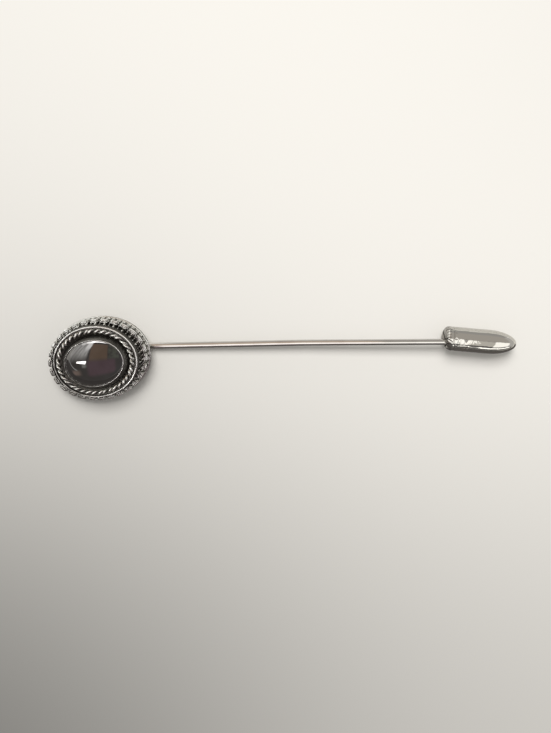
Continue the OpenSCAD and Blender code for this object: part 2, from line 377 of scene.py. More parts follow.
def plate_axes():
    """Finds the setting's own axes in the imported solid: its largest flat face is the back of the plate,
    an oval whose furthest corner gives the border's long axis. Returns origin, axes as rows, half axes."""
    mesh = frame["nodes"]["setting"].data
    mesh.calc_loop_triangles()
    corners = np.zeros(len(mesh.vertices) * 3)
    mesh.vertices.foreach_get("co", corners)
    corners = corners.reshape(-1, 3) / MM
    faces = np.zeros(len(mesh.loop_triangles) * 3, int)
    mesh.loop_triangles.foreach_get("vertices", faces)
    a, b, c = corners[faces.reshape(-1, 3)].transpose(1, 0, 2)
    normals = np.cross(b - a, c - a)
    areas = np.linalg.norm(normals, axis=1)
    solid = areas > 1e-9
    ways = normals[solid] / areas[solid, None]
    _, which = np.unique(np.round(ways, 3), axis=0, return_inverse=True)
    flattest = np.argmax(np.bincount(which.ravel(), areas[solid]))
    flat = which.ravel() == flattest
    normal = ways[flat].mean(0)
    rim = np.unique(np.round(np.concatenate([a[solid][flat], b[solid][flat], c[solid][flat]]), 4), axis=0)
    middle = rim.mean(0)
    reach = np.linalg.norm(rim - middle, axis=1)
    long_way = rim[np.argmax(reach)] - middle
    long_way *= np.sign(long_way[0]) / np.linalg.norm(long_way)
    upward = -normal / np.linalg.norm(normal)
    return middle, np.array([long_way, np.cross(upward, long_way), upward]), (reach.max(), reach.min())


plate_middle, plate_rows, border_half = plate_axes()


def from_plate(points):
    """Carries points from the plate's own axes to the pin's, in millimetres."""
    return plate_middle + points @ plate_rows


TEETH = 28
EVEN_SPREAD = 0.5 * (border_half[0] - border_half[1]) / (border_half[0] + border_half[1])


def even(step):
    """The angle on the oval for an even step round it: step + spread times sin of twice the step."""
    return step + EVEN_SPREAD * np.sin(2 * step)


def oval(half, turned, offset, step, height):
    """A point of an oval: (long + offset) cos t, (short + offset) sin t, turned on the plate, at a height."""
    t = even(step)
    x = (half[0] + offset) * np.cos(t)
    y = (half[1] + offset) * np.sin(t)
    cos, sin = math.cos(turned), math.sin(turned)
    return np.stack(np.broadcast_arrays(cos * x - sin * y, sin * x + cos * y, height), axis=-1)


ring_half = (6.7, 5.69)
rope_half = (5.95, 5.02)
stone_half = (5.0, 4.0)
CELL_FLOOR = 1.30
GROOVE_FLOOR = 2.92
SEAT_FLOOR = 2.35

# Columns: share of the ring's oval, offset and height over a tooth, offset and height at a notch
border_profile = np.array([
    [0, -0.04, 0.00, -0.04, 0.00],
    [0, 0.00, 0.05, 0.00, 0.05],
    [0, 0.00, 0.33, 0.00, 0.33],
    [0, -0.05, 0.38, -0.05, 0.38],
    [0, -0.20, 0.42, -0.20, 0.42],
    [0, -0.28, 1.45, -0.38, 1.20],
    [0, -0.19, 1.84, -0.44, 1.38],
    [0, -0.33, 2.05, -0.48, 1.46],
    [0, -0.55, 1.99, -0.56, 1.47],
    [0, -0.68, 1.82, -0.62, 1.47],
    [0, -0.71, CELL_FLOOR, -0.71, 1.47],
    [1, 0.38, CELL_FLOOR, 0.38, 1.47],
    [1, 0.31, 2.00, 0.31, 2.00],
    [1, 0.24, GROOVE_FLOOR - 0.05, 0.24, GROOVE_FLOOR - 0.05],
    [1, 0.10, GROOVE_FLOOR, 0.10, GROOVE_FLOOR],
])
steps_along = np.hypot(np.diff(border_profile[:, 1]), np.diff(border_profile[:, 2]))
# The step across a cell's floor, from one oval to the other, counts as this long
CELL_STEP = 10
steps_along[CELL_STEP] = 0.45
profile_rise = np.concatenate([[0], np.cumsum(steps_along)])
fine_rise = np.linspace(0, profile_rise[-1], 600)
fine_profile = np.stack([np.interp(fine_rise, profile_rise, column) for column in border_profile.T], axis=1)
# Rounds the profile's corners
for _ in range(14):
    fine_profile[1:-1] = (fine_profile[:-2] + 2 * fine_profile[1:-1] + fine_profile[2:]) / 4


def rubbed_and_side_lit(step):
    """How far the silver is rubbed at a step round, with painted light in it: most at 20 degrees, on the lit
    side, least across from it.
    """
    return 0.82 + 0.26 * np.cos(step - math.radians(20))


TOOTH_PITCH = 2 * np.pi / TEETH
NOTCH_START = 3 / 8 * TOOTH_PITCH


def notch(step):
    """1 at the middle of each notch and 0 over the tooth: the square of the cosine of the teeth's phase."""
    return np.maximum(0, np.cos(TEETH * (step - NOTCH_START))) ** 2


TOOTH_MIDDLES = NOTCH_START + (np.arange(TEETH) + 0.5) * TOOTH_PITCH


def border_at(step, rise):
    """The border's surface: at a distance rise along its profile, a point between the tooth's profile
    and the notch's, and between the border's oval and the ring's, at an even step round."""
    columns = [np.interp(rise, fine_rise, column) for column in fine_profile.T]
    share, out, high, notch_out, notch_high = columns
    cut = notch(step)
    offset = out + (notch_out - out) * cut
    height = high + (notch_high - high) * cut
    outer = oval(border_half, 0, offset, step, height)
    inner = oval(ring_half, ovals_turn, offset, step, height)
    return outer + (inner - outer) * np.asarray(share)[..., None]


def surface(name, grids, first=None, last=None, loop=False):
    """Puts grids of points [piece, row, column] in millimetres into one mesh. Columns close round. Rows
    close round too when loop is true; otherwise each end closes on its pole, first or last, one for each
    piece. Faces are turned outwards by the sign of the volume that they hold: a sixth of the sum of
    a . (b x c)."""
    grids = np.asarray(grids, float)
    if grids.ndim == 3:
        grids = grids[None]
    pieces, rows, columns = grids.shape[:3]
    points = grids.reshape(-1, 3)
    index = np.arange(len(points)).reshape(pieces, rows, columns)
    if loop:
        index = np.concatenate([index, index[:, :1]], axis=1)
    beside = np.roll(index, -1, axis=2)
    quads = np.stack([index[:, :-1], beside[:, :-1], beside[:, 1:], index[:, 1:]], axis=-1).reshape(-1, 4)
    fans = []
    for pole, row, inward in ((first, 0, True), (last, -1, False)):
        if pole is None:
            continue
        tips = len(points) + np.arange(pieces)
        points = np.concatenate([points, np.asarray(pole, float).reshape(-1, 3)])
        near, far = index[:, row], beside[:, row]
        tip = np.repeat(tips[:, None], columns, axis=1)
        order = [tip, far, near] if inward else [tip, near, far]
        fans.append(np.stack(order, axis=-1).reshape(-1, 3))
    fans = np.concatenate(fans) if fans else np.zeros((0, 3), int)
    triangles = np.concatenate([quads[:, [0, 1, 2]], quads[:, [0, 2, 3]], fans])
    a, b, c = points[triangles].transpose(1, 0, 2)
    held = np.einsum("ij,ij->i", a, np.cross(b, c)).sum()
    faces = quads.tolist() + fans.tolist()
    if held < 0:
        faces = [face[::-1] for face in faces]
    mesh = bpy.data.meshes.new(name)
    mesh.from_pydata((points * MM).tolist(), [], faces)
    mesh.shade_smooth()
    mesh.update()
    piece = bpy.data.objects.new(name, mesh)
    bpy.context.scene.collection.objects.link(piece)
    return piece


def paint(piece, name, values, kind="FLOAT"):
    """Stores a value or a vector for each point of a piece, for its material to read."""
    layer = piece.data.attributes.new(name, kind, "POINT")
    layer.data.foreach_set("value" if kind == "FLOAT" else "vector", np.asarray(values, np.float32).ravel())


def silver_sockets(nodes):
    """Blackened silver: a dark oxide skin in the hollows, rubbed away where the wear value is high. That
    value also carries painted light, brighter on the lit side of the setting.
    """
    place = nodes.place()
    cloud = nodes.noise(place, 1500, 4)
    grain = nodes.noise(place, 9000, 2)
    scratches = nodes.noise(nodes.add("Mapping", {}, {"Vector": place, "Scale": (400, 9000, 2000)}), 1, 3)
    worn_and_lit = (nodes.attribute("worn_and_lit") + (cloud - 0.5) * 0.55).rise(0.30, 0.72)
    colour = nodes.blend(worn_and_lit, (0.110, 0.105, 0.095, 1), (0.80, 0.805, 0.765, 1))
    rough = 0.42 - 0.22 * worn_and_lit + (grain - 0.5) * 0.16
    relief = grain * 0.5 + scratches * 0.5 + cloud
    bumped = nodes.bump(relief, 0.35, 0.00003)
    return {"Base Color": colour, "Metallic": 1, "Roughness": rough, "Normal": bumped}


silver = finish("antique_silver", silver_sockets)


def dress(piece, material, body, node, slot):
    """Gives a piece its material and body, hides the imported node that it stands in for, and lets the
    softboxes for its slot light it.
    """
    piece.data.materials.append(material)
    lit_with = {"antique_silver": silver_pieces, "dark_stone": stone_pieces}
    lit_with.get(slot, bright_pieces).objects.link(piece)
    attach(piece, body)
    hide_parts(node)


# Columns of the border lie closest together in the notches
COLUMNS_PER_TOOTH = 26
phase = np.arange(COLUMNS_PER_TOOTH) / COLUMNS_PER_TOOTH
phase = phase - 0.45 * np.sin(2 * np.pi * phase) / (2 * np.pi)
border_steps = NOTCH_START + ((np.arange(TEETH)[:, None] + phase) * TOOTH_PITCH).ravel()
border_rise = np.concatenate([
    np.linspace(0, profile_rise[4], 9),
    np.linspace(profile_rise[4], profile_rise[5], 16)[1:],
    np.linspace(profile_rise[5], profile_rise[10], 30)[1:],
    np.linspace(profile_rise[10], profile_rise[11], 8)[1:],
    np.linspace(profile_rise[11], profile_rise[-1], 16)[1:],
])
border_grid = border_at(border_steps[None, :], border_rise[:, None])
seat_rows = np.stack([
    oval(stone_half, ovals_turn, 0.03, border_steps, GROOVE_FLOOR),
    oval(stone_half, ovals_turn, 0.03, border_steps, SEAT_FLOOR),
])
border_grid = np.concatenate([border_grid, seat_rows])
seat_middle = from_plate(np.array([0, 0, SEAT_FLOOR]))
border = surface("border", from_plate(border_grid), first=from_plate(np.zeros(3)), last=seat_middle)
rise_grid, step_grid = np.meshgrid(border_rise, border_steps, indexing="ij")
on_edge = np.exp(-((rise_grid - profile_rise[3]) / 0.12) ** 2)
on_back = rise_grid < profile_rise[1]
on_crown = np.exp(-((rise_grid - profile_rise[7]) / 0.26) ** 2) * (1 - notch(step_grid))
# Rubbed edges and crowns, with painted light: brighter on the lit side of the border and darker across from
# it.
border_worn_and_lit = np.clip((0.95 * on_edge + 0.95 * on_crown) * rubbed_and_side_lit(step_grid) + 0.55 * on_back, 0, 1)
border_worn_and_lit = np.concatenate([border_worn_and_lit.ravel(), np.full(2 * len(border_steps), 0.1), [0.55, 0.1]])
paint(border, "worn_and_lit", border_worn_and_lit)
dress(border, silver, "pin", "setting", "antique_silver")

# Crowns, scrolls and ribs: each tooth carries a long bead with a sunk middle on its crown and two curls on
# its wall, and a rib runs from its crown up to the ring. They are cast with the border, proud of it.
border_round = np.pi * (border_half[0] + border_half[1])
tooth_width = border_round / TEETH


def on_border(across, rise):
    """Lays a line on every tooth. across is the distance from the tooth's middle, rise the one up its
    profile. Gives the line's points and the surface's normals there: [tooth, point, 3]."""
    step = TOOTH_MIDDLES[:, None] + across[None, :] / tooth_width * TOOTH_PITCH
    rise = np.broadcast_to(rise[None, :], step.shape)
    little = 1e-3
    here = border_at(step, rise)
    around = border_at(step + little, rise) - here
    upward = border_at(step, rise + little) - here
    normal = np.cross(around, upward)
    normal /= np.linalg.norm(normal, axis=-1, keepdims=True)
    return here, normal


def sweep(path, normal, section, ends, loop=False):
    """Carries a section along paths: point + width u across + height v along the normal, both scaled by
    ends, which is near 0 at a closed end. path and normal are [piece, point, 3], section is [side, 2]."""
    if loop:
        along = np.roll(path, -1, axis=1) - np.roll(path, 1, axis=1)
    else:
        along = np.gradient(path, axis=1)
    across = np.cross(along, normal)
    across /= np.linalg.norm(across, axis=-1, keepdims=True)
    size = ends[None, :, None, None]
    u, v = section[None, None, :, :1], section[None, None, :, 1:]
    return path[:, :, None] + size * (u * across[:, :, None] + v * normal[:, :, None])


def round_ends(count, share):
    """1 along a line and falling to 0.15 as a quarter circle over its first and last share."""
    t = np.linspace(0, 1, count)
    near = np.clip(np.minimum(t, 1 - t) / share, 0, 1)
    return 0.15 + 0.85 * np.sqrt(1 - (1 - near) ** 2)


def bead_section(half_width, height):
    """A bead's section: an oval of half_width and height, the widest part in the surface."""
    return np.stack([half_width * np.cos(side), height * np.sin(side)], axis=1)


def cast(name, grids, first, last, loop=False, share=1):
    """Makes a mesh of beads in blackened silver, whose tops are rubbed bright by a share: for a side at angle
    s of the section, (0.1 + 1.2 sin s) times how far its tooth is rubbed, which carries painted light, higher
    on the lit side. Their feet stay dark."""
    piece = surface(name, from_plate(grids), first, last, loop)
    per_piece = np.tile(rubbed_and_side_lit(TOOTH_MIDDLES), len(grids) // TEETH) * share
    side_worn = 0.1 + 1.2 * np.clip(np.sin(side), 0, 1)
    worn_and_lit = np.broadcast_to(side_worn * per_piece[:, None, None], grids.shape[:3])
    tips = [] if first is None else 0.4 * np.tile(per_piece, 2)
    paint(piece, "worn_and_lit", np.concatenate([worn_and_lit.ravel(), tips]))
    dress(piece, silver, "pin", "setting", "antique_silver")


side = np.linspace(0, 2 * np.pi, 12, endpoint=False)
CROWN_POINTS = 72
CROWN_HALF = (0.63, 0.28)
CROWN_BOW = 0.10
crown_middle = (profile_rise[6] + profile_rise[8]) / 2 + 0.02
crown_turn = np.linspace(0, 2 * np.pi, CROWN_POINTS, endpoint=False)


def squared(wave):
    """A sine or cosine made squarer, so that an oval gets fuller corners: its sign times its size ^ 2/3."""
    return np.sign(wave) * np.abs(wave) ** (2 / 3)


crown_across = CROWN_HALF[0] * squared(np.cos(crown_turn))
crown_rise = crown_middle + CROWN_HALF[1] * squared(np.sin(crown_turn))
crown_rise = crown_rise + CROWN_BOW * (1 - (crown_across / CROWN_HALF[0]) ** 2)
crown_path, crown_normal = on_border(crown_across, crown_rise)
crown_grids = sweep(crown_path, crown_normal, bead_section(0.11, 0.12), np.ones(CROWN_POINTS), loop=True)
cast("crowns", crown_grids, None, None, loop=True)
BAR_POINTS = 24
bar_across = np.linspace(-0.42, 0.42, BAR_POINTS)
bar_rise = crown_middle + CROWN_BOW * (1 - (bar_across / CROWN_HALF[0]) ** 2)
bar_path, bar_normal = on_border(bar_across, bar_rise)
bar_grids = sweep(bar_path, bar_normal, bead_section(0.075, 0.09), round_ends(BAR_POINTS, 0.15))
cast("crown_bars", bar_grids, from_plate(bar_path[:, 0]), from_plate(bar_path[:, -1]))

# Columns: distance of a curl's middle from the tooth's, height over the wall's foot, outer radius, way
curls = [(-0.34, 0.50, 0.36, 1), (0.45, 0.47, 0.30, -1)]
CURL_TURNS = 1.3
CURL_EYE = 0.08
CURL_COUNT = 52
curl = np.linspace(0, 1, CURL_COUNT)
curl_paths, curl_normals = [], []
for curl_aside, curl_up, curl_radius, curl_way in curls:
    reach = curl_radius + (CURL_EYE - curl_radius) * curl
    angle = math.radians(100) + 2 * np.pi * CURL_TURNS * curl
    curl_across = curl_aside + curl_way * reach * np.cos(angle)
    curl_rise = profile_rise[4] + curl_up + 1.15 * reach * np.sin(angle)
    path, normal = on_border(curl_across, curl_rise)
    curl_paths.append(path)
    curl_normals.append(normal)
curl_path = np.concatenate(curl_paths)
curl_grids = sweep(
    curl_path, np.concatenate(curl_normals), bead_section(0.075, 0.12), round_ends(CURL_COUNT, 0.06)
)
cast("scrolls", curl_grids, from_plate(curl_path[:, 0]), from_plate(curl_path[:, -1]))

# Columns: distance of a rib from the tooth's middle, half width, height, start and end along the profile
ribs = [
    (0.0, 0.22, 0.20, profile_rise[8] + 0.02, profile_rise[12] + 0.45),
    (tooth_width / 2, 0.10, 0.12, profile_rise[9] + 0.1, profile_rise[12] + 0.3),
]
RIB_POINTS = 40
for rib_number, (rib_aside, rib_half, rib_height, rib_start, rib_end) in enumerate(ribs):
    rib_rise = np.linspace(rib_start, rib_end, RIB_POINTS)
    rib_path, rib_normal = on_border(np.full(RIB_POINTS, rib_aside), rib_rise)
    rib_grids = sweep(rib_path, rib_normal, bead_section(rib_half, rib_height), round_ends(RIB_POINTS, 0.25))
    cast(f"ribs_{rib_number}", rib_grids, from_plate(rib_path[:, 0]), from_plate(rib_path[:, -1]), share=0.72)

# Ring wire: a plain round wire soldered along the edge of the raised step.
# Its top is rubbed bright, with painted light making it brighter on the lit side; its sides keep their
# blackening.
RING_RADIUS = 0.155
RING_HEIGHT = 3.10
round_steps = np.linspace(0, 2 * np.pi, 420, endpoint=False)
ring_side = np.linspace(0, 2 * np.pi, 18, endpoint=False)
ring_wave = 0.012 * np.sin(7 * round_steps + 1) + 0.008 * np.sin(17 * round_steps)
ring_out = RING_RADIUS * np.cos(ring_side)[None, :] + ring_wave[:, None]
ring_up = RING_HEIGHT + RING_RADIUS * np.sin(ring_side)[None, :] + 0.5 * ring_wave[:, None]
ring_grid = oval(ring_half, ovals_turn, ring_out, round_steps[:, None], ring_up)
ring = surface("ring_wire", from_plate(ring_grid), loop=True)
paint(ring, "worn_and_lit", 0.9 * np.clip(np.sin(ring_side), 0, 1)[None, :] * rubbed_and_side_lit(round_steps)[:, None])
dress(ring, silver, "pin", "setting", "antique_silver")

# Rope wire: two round wires twisted together and soldered inside the ring.
# The dark oxide stays between the strands.
ROPE_TURNS = 19
STRAND_RADIUS = 0.235
TWIST_RADIUS = 0.20
ROPE_HEIGHT = 3.0
rope_steps = np.linspace(0, 2 * np.pi, ROPE_TURNS * 28, endpoint=False)
strand_side = np.linspace(0, 2 * np.pi, 14, endpoint=False)


def strand(start):
    """One strand: a circle of the strand's radius whose centre runs round the rope's line as it goes along.
    Its section stays upright to the oval, so its width across the lean is made up by the lean's cosine."""
    twist = ROPE_TURNS * rope_steps + start
    twist = twist + 0.35 * np.sin(3 * rope_steps + start) + 0.2 * np.sin(8 * rope_steps + 2 * start)
    middle_out = TWIST_RADIUS * np.cos(twist)
    middle_up = TWIST_RADIUS * np.sin(twist)
    thick = STRAND_RADIUS * (1 + 0.05 * np.sin(13 * rope_steps + start) - 0.04 * np.sin(29 * rope_steps))
    out = middle_out[:, None] + thick[:, None] * np.cos(strand_side)[None, :]
    high = ROPE_HEIGHT + middle_up[:, None] + thick[:, None] * np.sin(strand_side)[None, :]
    return oval(rope_half, ovals_turn, out, rope_steps[:, None], high), np.hypot(out, high - ROPE_HEIGHT)


strand_grids, strand_reach = zip(*[strand(start) for start in (0, np.pi)])
rope = surface("rope_wire", from_plate(np.array(strand_grids)), loop=True)
# Painted light: the rubbed crowns of the strands are brighter on the lit side of the rope and duller across
# from it.
rope_rubbed_and_lit = 0.2 + 0.8 * rubbed_and_side_lit(rope_steps)[None, :, None]
rope_worn_and_lit = np.clip((np.array(strand_reach) - 0.16) / 0.17, 0, 1) * rope_rubbed_and_lit
paint(rope, "worn_and_lit", rope_worn_and_lit)
dress(rope, silver, "pin", "setting", "antique_silver")

# Stone: a polished dark cabochon, close to a mirror, on its flat seat.
# Its dome rises steeply from a short straight edge to a flatter crown.
STONE_EDGE = 3.07
DOME_HEIGHT = 2.548
DOME_POWER = 0.62
STONE_BACK = 2.38


def dome(share):
    """Height of the dome at a share of the way out to the edge: edge + height (1 - share^2) ^ power."""
    return STONE_EDGE + DOME_HEIGHT * np.maximum(0, 1 - share ** 2) ** DOME_POWER


stone_steps = np.linspace(0, 2 * np.pi, 192, endpoint=False)
dome_share = np.sin(np.linspace(math.radians(0.8), math.radians(89.6), 90))
sin_turn, cos_turn = math.sin(ovals_turn), math.cos(ovals_turn)


def stone_row(share, height):
    """Rings of the stone: the stone's oval scaled by share, turned on the plate, at a height."""
    x = stone_half[0] * share * np.cos(stone_steps)
    y = stone_half[1] * share * np.sin(stone_steps)
    turned_x, turned_y = cos_turn * x - sin_turn * y, sin_turn * x + cos_turn * y
    return np.stack(np.broadcast_arrays(turned_x, turned_y, height), axis=-1)


stone_grid = np.concatenate([
    stone_row(dome_share[:, None], dome(dome_share)[:, None]),
    stone_row(np.array([[1.0], [1.0], [0.985]]), np.array([[STONE_EDGE], [STONE_BACK + 0.06], [STONE_BACK]])),
])
crown = from_plate(np.array([0, 0, STONE_EDGE + DOME_HEIGHT]))
stone = surface("cabochon", from_plate(stone_grid), crown, from_plate(np.array([0, 0, STONE_BACK])))


def stone_sockets(nodes):
    """Polished hematite-like stone: a dark grey mirror with faint clouds in its tone and its polish."""
    place = nodes.place()
    cloud = nodes.noise(place, 420, 4)
    rubs = nodes.noise(place, 6000, 2)
    colour = nodes.blend(cloud.rise(0.3, 0.7), (0.235, 0.225, 0.22, 1), (0.27, 0.262, 0.262, 1))
    rough = 0.025 + 0.03 * rubs.rise(0.5, 0.8)
    bumped = nodes.bump(cloud, 0.04, 0.0002)
    return {"Base Color": colour, "Metallic": 1, "Roughness": rough, "Normal": bumped}


dress(stone, finish("dark_stone", stone_sockets), "pin", "stone", "dark_stone")

# Bezel: a strip of metal soldered round the stone's seat and pressed over its edge.
# Its sloping side stays black, and only its thin lip is rubbed bright where it hugs the dome, with painted
# light making the lip brighter on the lit side and dim across from it.
LIP_REACH = 0.33
LIP_WIDTH = 0.12
bezel_steps = np.linspace(0, 2 * np.pi, 420, endpoint=False)
bezel_angle = even(bezel_steps)
reach_share = np.hypot(
    (stone_half[0] - LIP_REACH) / stone_half[0] * np.cos(bezel_angle),
    (stone_half[1] - LIP_REACH) / stone_half[1] * np.sin(bezel_angle),
)
lip_wave = 0.008 * np.sin(11 * bezel_steps) + 0.006 * np.sin(23 * bezel_steps + 2)
lip_foot = dome(reach_share) + 0.03 + lip_wave
lip_crown = lip_foot + 0.06

# Columns: offset from the stone's oval, height, and share of the lip's own height
bezel_profile = [
    (0.34, GROOVE_FLOOR - 0.03, None),
    (0.30, GROOVE_FLOOR + 0.10, None),
    (0.16, 3.38, None),
    (0.03, 3.66, None),
    (-LIP_REACH + LIP_WIDTH + 0.05, 0, -0.07),
    (-LIP_REACH + LIP_WIDTH, 0, 0.0),
    (-LIP_REACH + 0.06, 0, 0.02),
    (-LIP_REACH + 0.01, 0, -0.01),
    (-LIP_REACH - 0.01, 0, -0.05),
    (-LIP_REACH + 0.03, 0, -0.075),
    (0.025, 3.28, None),
    (0.025, SEAT_FLOOR + 0.02, None),
    (0.34, SEAT_FLOOR + 0.02, None),
]
bezel_rows = []
for offset, height, lip in bezel_profile:
    level = height if lip is None else lip_crown + lip
    bezel_rows.append(oval(stone_half, ovals_turn, offset, bezel_steps, level))
bezel_keys = np.array(bezel_rows)
fine_keys = np.linspace(0, len(bezel_keys), 5 * len(bezel_keys), endpoint=False)
low_key = fine_keys.astype(int)
part_key = (fine_keys - low_key)[:, None, None]
bezel_grid = (1 - part_key) * bezel_keys[low_key] + part_key * bezel_keys[(low_key + 1) % len(bezel_keys)]
# Rounds the bezel's corners
for _ in range(3):
    bezel_grid = (np.roll(bezel_grid, 1, axis=0) + 2 * bezel_grid + np.roll(bezel_grid, -1, axis=0)) / 4
bezel = surface("bezel", from_plate(bezel_grid), loop=True)
# Row of the profile that is the middle of the lip, and how many rows it takes in on either side
LIP_ROW, LIP_ROWS = 6.3, 1.15
on_lip = np.exp(-((fine_keys - LIP_ROW) / LIP_ROWS) ** 4)
# Painted light: the lip's rubbed line is brightest on the lit side and dim across from it.
paint(bezel, "worn_and_lit", 0.15 + 0.9 * on_lip[:, None] * rubbed_and_side_lit(bezel_steps)[None, :] ** 2)
dress(bezel, silver, "pin", "setting", "antique_silver")

# Pin wire: drawn and plated steel, slightly bent, with a long ground point inside the clutch.
# A round pad, soldered along the wire, is cemented to the back of the setting.
stem = frame["record"]["mounts"][0]
wire_radius = stem["dims"]["r_mm"]
stem_way = np.array(stem["axis"])
stem_middle = np.array(stem["pos_m"]) / MM
bend_turn = math.radians(0.85)
bend_to_tail = 33.4 + 3.3
taper_length, point_length = 4.5, 4.0
taper_radius, point_radius = 0.41, 0.05
turned = np.array([
    [math.cos(bend_turn), -math.sin(bend_turn), 0],
    [math.sin(bend_turn), math.cos(bend_turn), 0],
    [0, 0, 1],
])
bend_place = stem_middle - stem_way * stem["dims"]["length_mm"] / 2
mouth_place = stem_middle + stem_way * stem["dims"]["length_mm"] / 2
tail_way = turned @ stem_way
# Distances run from the bend: below zero towards the tail, above zero towards the point
mouth_at = stem["dims"]["length_mm"]
tip_at = mouth_at + taper_length + point_length
# Places of the wire's rings, closest together at its rounded tail and at its bend
wire_at = np.concatenate([
    -bend_to_tail + np.array([0, 0.02, 0.06, 0.12, 0.2, 0.4]),
    np.linspace(-bend_to_tail + 1, -0.8, 60),
    np.linspace(-0.6, 0.6, 13),
    np.linspace(0.8, mouth_at, 50),
    np.linspace(mouth_at, tip_at, 30)[1:],
])
tail_round = np.sqrt(np.clip(1 - (1 - (wire_at + bend_to_tail) / 0.12) ** 2, 0, 1))
tail_round = np.where(wire_at + bend_to_tail < 0.12, 0.76 + 0.24 * tail_round, 1)
radius_at = np.interp(
    wire_at,
    [-bend_to_tail, mouth_at, mouth_at + taper_length, tip_at],
    [wire_radius, wire_radius, taper_radius, point_radius],
) * tail_round
NICK_AT = 0.35
nick_depth = 0.035 * np.exp(-((wire_at - NICK_AT) / 0.12) ** 2)
nick_depth = nick_depth + 0.02 * np.exp(-((wire_at - NICK_AT - 0.55) / 0.1) ** 2)
wire_side = np.linspace(0, 2 * np.pi, 40, endpoint=False)
BEND_ROUND = 0.5
towards_tail = 0.5 * (np.sqrt(wire_at ** 2 + BEND_ROUND ** 2) - wire_at)
towards_point = 0.5 * (np.sqrt(wire_at ** 2 + BEND_ROUND ** 2) + wire_at)
wire_line = bend_place - towards_tail[:, None] * tail_way + towards_point[:, None] * stem_way
wire_ahead = np.gradient(wire_line, axis=0)
wire_ahead /= np.linalg.norm(wire_ahead, axis=1, keepdims=True)
wire_left = np.cross((0, 0, 1), wire_ahead)
wire_left /= np.linalg.norm(wire_left, axis=1, keepdims=True)
wire_over = np.cross(wire_ahead, wire_left)
wire_thick = radius_at[:, None] - nick_depth[:, None] * np.clip(np.sin(wire_side + 0.6), 0, 1)[None, :]
wire_out = np.cos(wire_side)[:, None] * wire_left[:, None] + np.sin(wire_side)[:, None] * wire_over[:, None]
wire_grid = wire_line[:, None] + wire_thick[..., None] * wire_out
pin_wire = surface("pin_wire", wire_grid, first=wire_line[0], last=wire_line[-1] + 0.04 * stem_way)
drawn = np.stack(np.broadcast_arrays(
    np.cos(wire_side)[None, :], np.sin(wire_side)[None, :], wire_at[:, None] / 60
), axis=-1).reshape(-1, 3)
paint(pin_wire, "drawn", np.concatenate([drawn, drawn[:1], drawn[-1:]]), "FLOAT_VECTOR")


def wire_sockets(nodes):
    """Drawn wire: fine lines from the die run along it, and the plating is a little dull in places."""
    along = nodes.attribute("drawn", "Vector")
    lines = nodes.noise(along, 14, 3, 0.6)
    dull = nodes.noise(nodes.place(), 350, 3)
    rough = 0.06 + 0.06 * dull.rise(0.45, 0.75) + 0.06 * lines.rise(0.5, 0.8)
    colour = nodes.blend(dull.rise(0.4, 0.8), (0.62, 0.605, 0.575, 1), (0.56, 0.535, 0.505, 1))
    bumped = nodes.bump(lines, 0.15, 0.00002)
    return {"Base Color": colour, "Metallic": 1, "Roughness": rough, "Normal": bumped}


bright_wire = finish("bright_wire", wire_sockets)
dress(pin_wire, bright_wire, "pin", "pin_stem", "bright_wire")

PAD_RADIUS = 3.75
PAD_THICKNESS = 0.65
PAD_GAP = 0.02
PAD_ASIDE = 1.5
border_turn = math.radians(15)
wire_along = np.array([math.cos(border_turn), -math.sin(border_turn), 0])
wire_across = np.array([math.sin(border_turn), math.cos(border_turn), 0])
pad_aside = PAD_ASIDE * wire_across
pad_steps = np.linspace(0, 2 * np.pi, 96, endpoint=False)
pad_round = 0.12
pad_profile_r = np.concatenate([
    [PAD_RADIUS * 0.5],
    PAD_RADIUS - pad_round + pad_round * np.cos(np.radians([90, 60, 30, 0])),
    PAD_RADIUS - pad_round + pad_round * np.cos(np.radians([0, 30, 60, 90])),
    [PAD_RADIUS * 0.5],
])
pad_profile_z = -PAD_GAP + np.concatenate([
    [0],
    -pad_round + pad_round * np.sin(np.radians([90, 60, 30, 0])),
    -PAD_THICKNESS + pad_round - pad_round * np.sin(np.radians([0, 30, 60, 90])),
    [-PAD_THICKNESS],
])
pad_grid = np.stack(np.broadcast_arrays(
    pad_profile_r[:, None] * np.cos(pad_steps),
    pad_profile_r[:, None] * np.sin(pad_steps),
    pad_profile_z[:, None],
), axis=-1) + pad_aside
pad = surface(
    "pad",
    from_plate(pad_grid),
    first=from_plate(pad_aside - np.array([0, 0, PAD_GAP])),
    last=from_plate(pad_aside - np.array([0, 0, PAD_GAP + PAD_THICKNESS])),
)
pad_place = pad_grid.reshape(-1, 3) / 6
paint(pad, "drawn", np.concatenate([pad_place, pad_place[:1], pad_place[-1:]]), "FLOAT_VECTOR")
dress(pad, bright_wire, "pin", "pin_stem", "bright_wire")

# The solder that holds the wire is a low mound: an oval dome with a wavy foot, its rows squeezed to its top
SOLDER_HALF = (2.5, 0.78, 0.62)
solder_rise = np.radians(np.linspace(0, 84, 12))[:, None]
solder_turn = np.linspace(0, 2 * np.pi, 72, endpoint=False)[None, :]
solder_wave = 1 + 0.05 * np.sin(3 * solder_turn + 1) + 0.03 * np.sin(7 * solder_turn)
solder_u = SOLDER_HALF[0] * np.cos(solder_rise) * np.cos(solder_turn) * solder_wave
solder_v = SOLDER_HALF[1] * np.cos(solder_rise) * np.sin(solder_turn) * solder_wave
solder_w = -PAD_GAP - PAD_THICKNESS + 0.03 - SOLDER_HALF[2] * np.sin(solder_rise) + 0 * solder_turn
solder_foot = pad_aside - np.array([0, 0, PAD_GAP + PAD_THICKNESS - 0.03])
solder_grid = solder_u[..., None] * wire_along + solder_v[..., None] * wire_across + pad_aside
solder_grid = solder_grid + solder_w[..., None] * np.array([0, 0, 1.0])
solder = surface(
    "solder", from_plate(solder_grid), first=from_plate(solder_foot),
    last=from_plate(solder_foot - np.array([0, 0, SOLDER_HALF[2]])),
)


